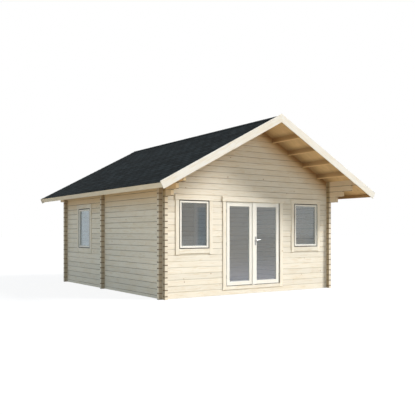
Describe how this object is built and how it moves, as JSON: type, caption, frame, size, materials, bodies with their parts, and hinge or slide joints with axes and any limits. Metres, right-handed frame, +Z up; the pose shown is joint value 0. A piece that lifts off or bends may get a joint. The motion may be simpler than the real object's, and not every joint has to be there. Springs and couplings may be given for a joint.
{
  "type": "garden house",
  "caption": "Gabled log garden house with a deep front canopy on stepped corbel logs, glazed double doors between windows, a shingled roof and a partition behind the front room.",
  "frame": {"origin": "on the ground, under the middle of the roof's length and under the ridge", "axes": "+Z up, +Y from the door side to the back, +X to the right as seen from the door side"},
  "size_m": [6.2718, 7.265, 4.1233],
  "materials": {
    "log_pine": "planed, untreated",
    "floor_pine": "planed",
    "soffit_pine": "planed",
    "bitumen_shingle": "mineral grit",
    "edge_board": "planed",
    "joinery_pine": "planed, smooth",
    "pane_glass": "clear",
    "hinge_steel": "zinc plated",
    "handle_steel": "satin"
  },
  "bodies": {
    "house": {"front_bottom_log": "log_pine", "front_lower_logs": "log_pine", "front_window_logs": "log_pine", "front_gable": "log_pine", "left_lower_logs": "log_pine", "left_window_logs": "log_pine", "left_top_logs": "log_pine", "right_wall_logs": "log_pine", "right_top_logs": "log_pine", "back_wall": "log_pine", "partition_bottom_log": "log_pine", "partition_logs": "log_pine", "partition_gable": "log_pine", "floor_bearers": "floor_pine", "front_floor": "floor_pine", "rear_floor": "floor_pine", "left_roof_boards": "soffit_pine", "right_roof_boards": "soffit_pine", "ridge_purlin": "soffit_pine", "left_purlins": "soffit_pine", "right_purlins": "soffit_pine", "left_shingles": "bitumen_shingle", "right_shingles": "bitumen_shingle", "ridge_shingles": "bitumen_shingle", "front_left_bargeboard": "edge_board", "front_right_bargeboard": "edge_board", "back_left_bargeboard": "edge_board", "back_right_bargeboard": "edge_board", "left_eave_board": "edge_board", "right_eave_board": "edge_board", "left_window_frame": "joinery_pine", "left_window_sash": "joinery_pine", "left_window_casing": "joinery_pine", "right_window_frame": "joinery_pine", "right_window_sash": "joinery_pine", "right_window_casing": "joinery_pine", "side_window_frame": "joinery_pine", "side_window_sash": "joinery_pine", "side_window_casing": "joinery_pine", "door_frame": "joinery_pine", "door_casing": "joinery_pine", "left_window_pane": "pane_glass", "right_window_pane": "pane_glass", "side_window_pane": "pane_glass", "hinge_pins": "hinge_steel"},
    "left_door": {"left_leaf": "joinery_pine", "left_leaf_pane": "pane_glass", "left_hinge_barrels": "hinge_steel"},
    "right_door": {"right_leaf": "joinery_pine", "right_leaf_pane": "pane_glass", "right_hinge_barrels": "hinge_steel", "handle_plates": "handle_steel"},
    "door_handle": {"door_lever": "handle_steel"}
  },
  "joints": [
    {"name": "left_door_hinge", "type": "hinge", "parent": "house", "child": "left_door", "pos_m": [-0.8075, -2.6155, 1.1825], "axis": [0, 0, -1], "range_deg": [0, 110]},
    {"name": "right_door_hinge", "type": "hinge", "parent": "house", "child": "right_door", "pos_m": [0.8075, -2.6155, 1.1825], "axis": [0, 0, 1], "range_deg": [0, 110]},
    {"name": "lever_turn", "type": "hinge", "parent": "right_door", "child": "door_handle", "pos_m": [0.06, -2.6075, 1.277], "axis": [0, 1, 0], "range_deg": [0, 40], "stiffness_Nm_per_rad": 1, "springref_deg": -28.65}
  ]
}
